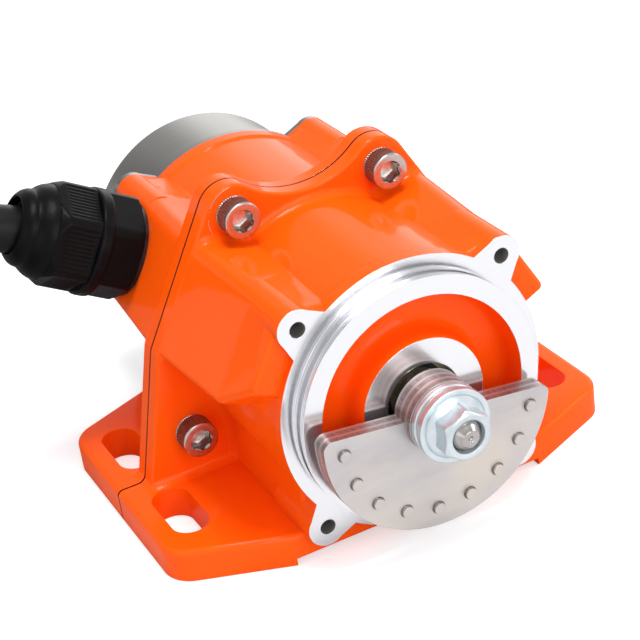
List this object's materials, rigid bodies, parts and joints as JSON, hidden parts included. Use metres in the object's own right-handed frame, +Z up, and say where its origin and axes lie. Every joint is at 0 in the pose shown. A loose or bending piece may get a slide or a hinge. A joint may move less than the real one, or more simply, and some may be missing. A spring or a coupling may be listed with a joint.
{
  "type": "vibration motor",
  "caption": "Foot-mounted vibration motor: two-shell orange casting, eccentric half-disc weights on the open front shaft end, closed rear cover and side cable gland.",
  "frame": {"origin": "on the mounting surface, at the centre of the four foot slots and under the parting plane of the two shells", "axes": "+X along the shaft towards the open front end, +Z up from the mounting surface, cable gland on the -Y side"},
  "size_m": [0.1634, 0.3974, 0.0905],
  "materials": {
    "orange_paint": "powder-coated die-cast aluminium, gloss, machined joint faces",
    "gasket_paper": "thin fibre gasket",
    "screw_steel": "stainless socket head screws",
    "cover_steel": "deep-drawn stainless sheet, satin",
    "rubber": "nitrile rubber",
    "lamination": "stacked electrical steel",
    "copper_coils": "varnished copper end turns",
    "shaft_steel": "turned and ground steel",
    "bearing_steel": "ground bearing steel",
    "weight_steel": "stamped steel plate",
    "zinc_plate": "bright zinc plated steel",
    "black_nylon": "moulded polyamide",
    "cable_sheath": "black flexible cable sheath",
    "core_wire": "insulated core wires"
  },
  "bodies": {
    "stator": {"front_housing": "orange_paint", "rear_housing": "orange_paint", "housing_gasket": "gasket_paper", "housing_screws": "screw_steel", "rear_cover": "cover_steel", "rear_cover_screws": "screw_steel", "rear_cover_oring": "rubber", "stator_core": "lamination", "stator_windings": "copper_coils", "bearing_wave_spring": "bearing_steel", "gland_body": "black_nylon", "gland_ring": "rubber", "gland_nut": "black_nylon", "gland_seal": "rubber", "cable_run": "cable_sheath", "cable_coil": "cable_sheath", "cable_cores": "core_wire", "front_bearing_outer_ring": "bearing_steel", "front_bearing_seal": "rubber", "rear_bearing_outer_ring": "bearing_steel", "rear_bearing_seal": "rubber"},
    "rotor": {"rotor_core": "lamination", "shaft": "shaft_steel", "front_bearing_inner_ring": "bearing_steel", "front_bearing_balls": "bearing_steel", "front_sleeve": "shaft_steel", "front_fixed_weight": "weight_steel", "front_spacer": "weight_steel", "front_washer": "zinc_plate", "front_nut": "zinc_plate", "rear_bearing_inner_ring": "bearing_steel", "rear_bearing_balls": "bearing_steel", "rear_sleeve": "shaft_steel", "rear_fixed_weight": "weight_steel", "rear_spacer": "weight_steel", "rear_washer": "zinc_plate", "rear_nut": "zinc_plate"},
    "front_adjust": {"front_adjust_weight": "weight_steel"},
    "rear_adjust": {"rear_adjust_weight": "weight_steel"}
  },
  "joints": [
    {"name": "rotor_spin", "type": "hinge", "parent": "stator", "child": "rotor", "pos_m": [0, 0, 0.0392], "axis": [1, 0, 0], "continuous": true},
    {"name": "front_weight_set", "type": "hinge", "parent": "rotor", "child": "front_adjust", "pos_m": [0.0635, 0, 0.0392], "axis": [1, 0, 0], "range_deg": [0, 180]},
    {"name": "rear_weight_set", "type": "hinge", "parent": "rotor", "child": "rear_adjust", "pos_m": [-0.0635, 0, 0.0392], "axis": [1, 0, 0], "range_deg": [0, 180]}
  ]
}
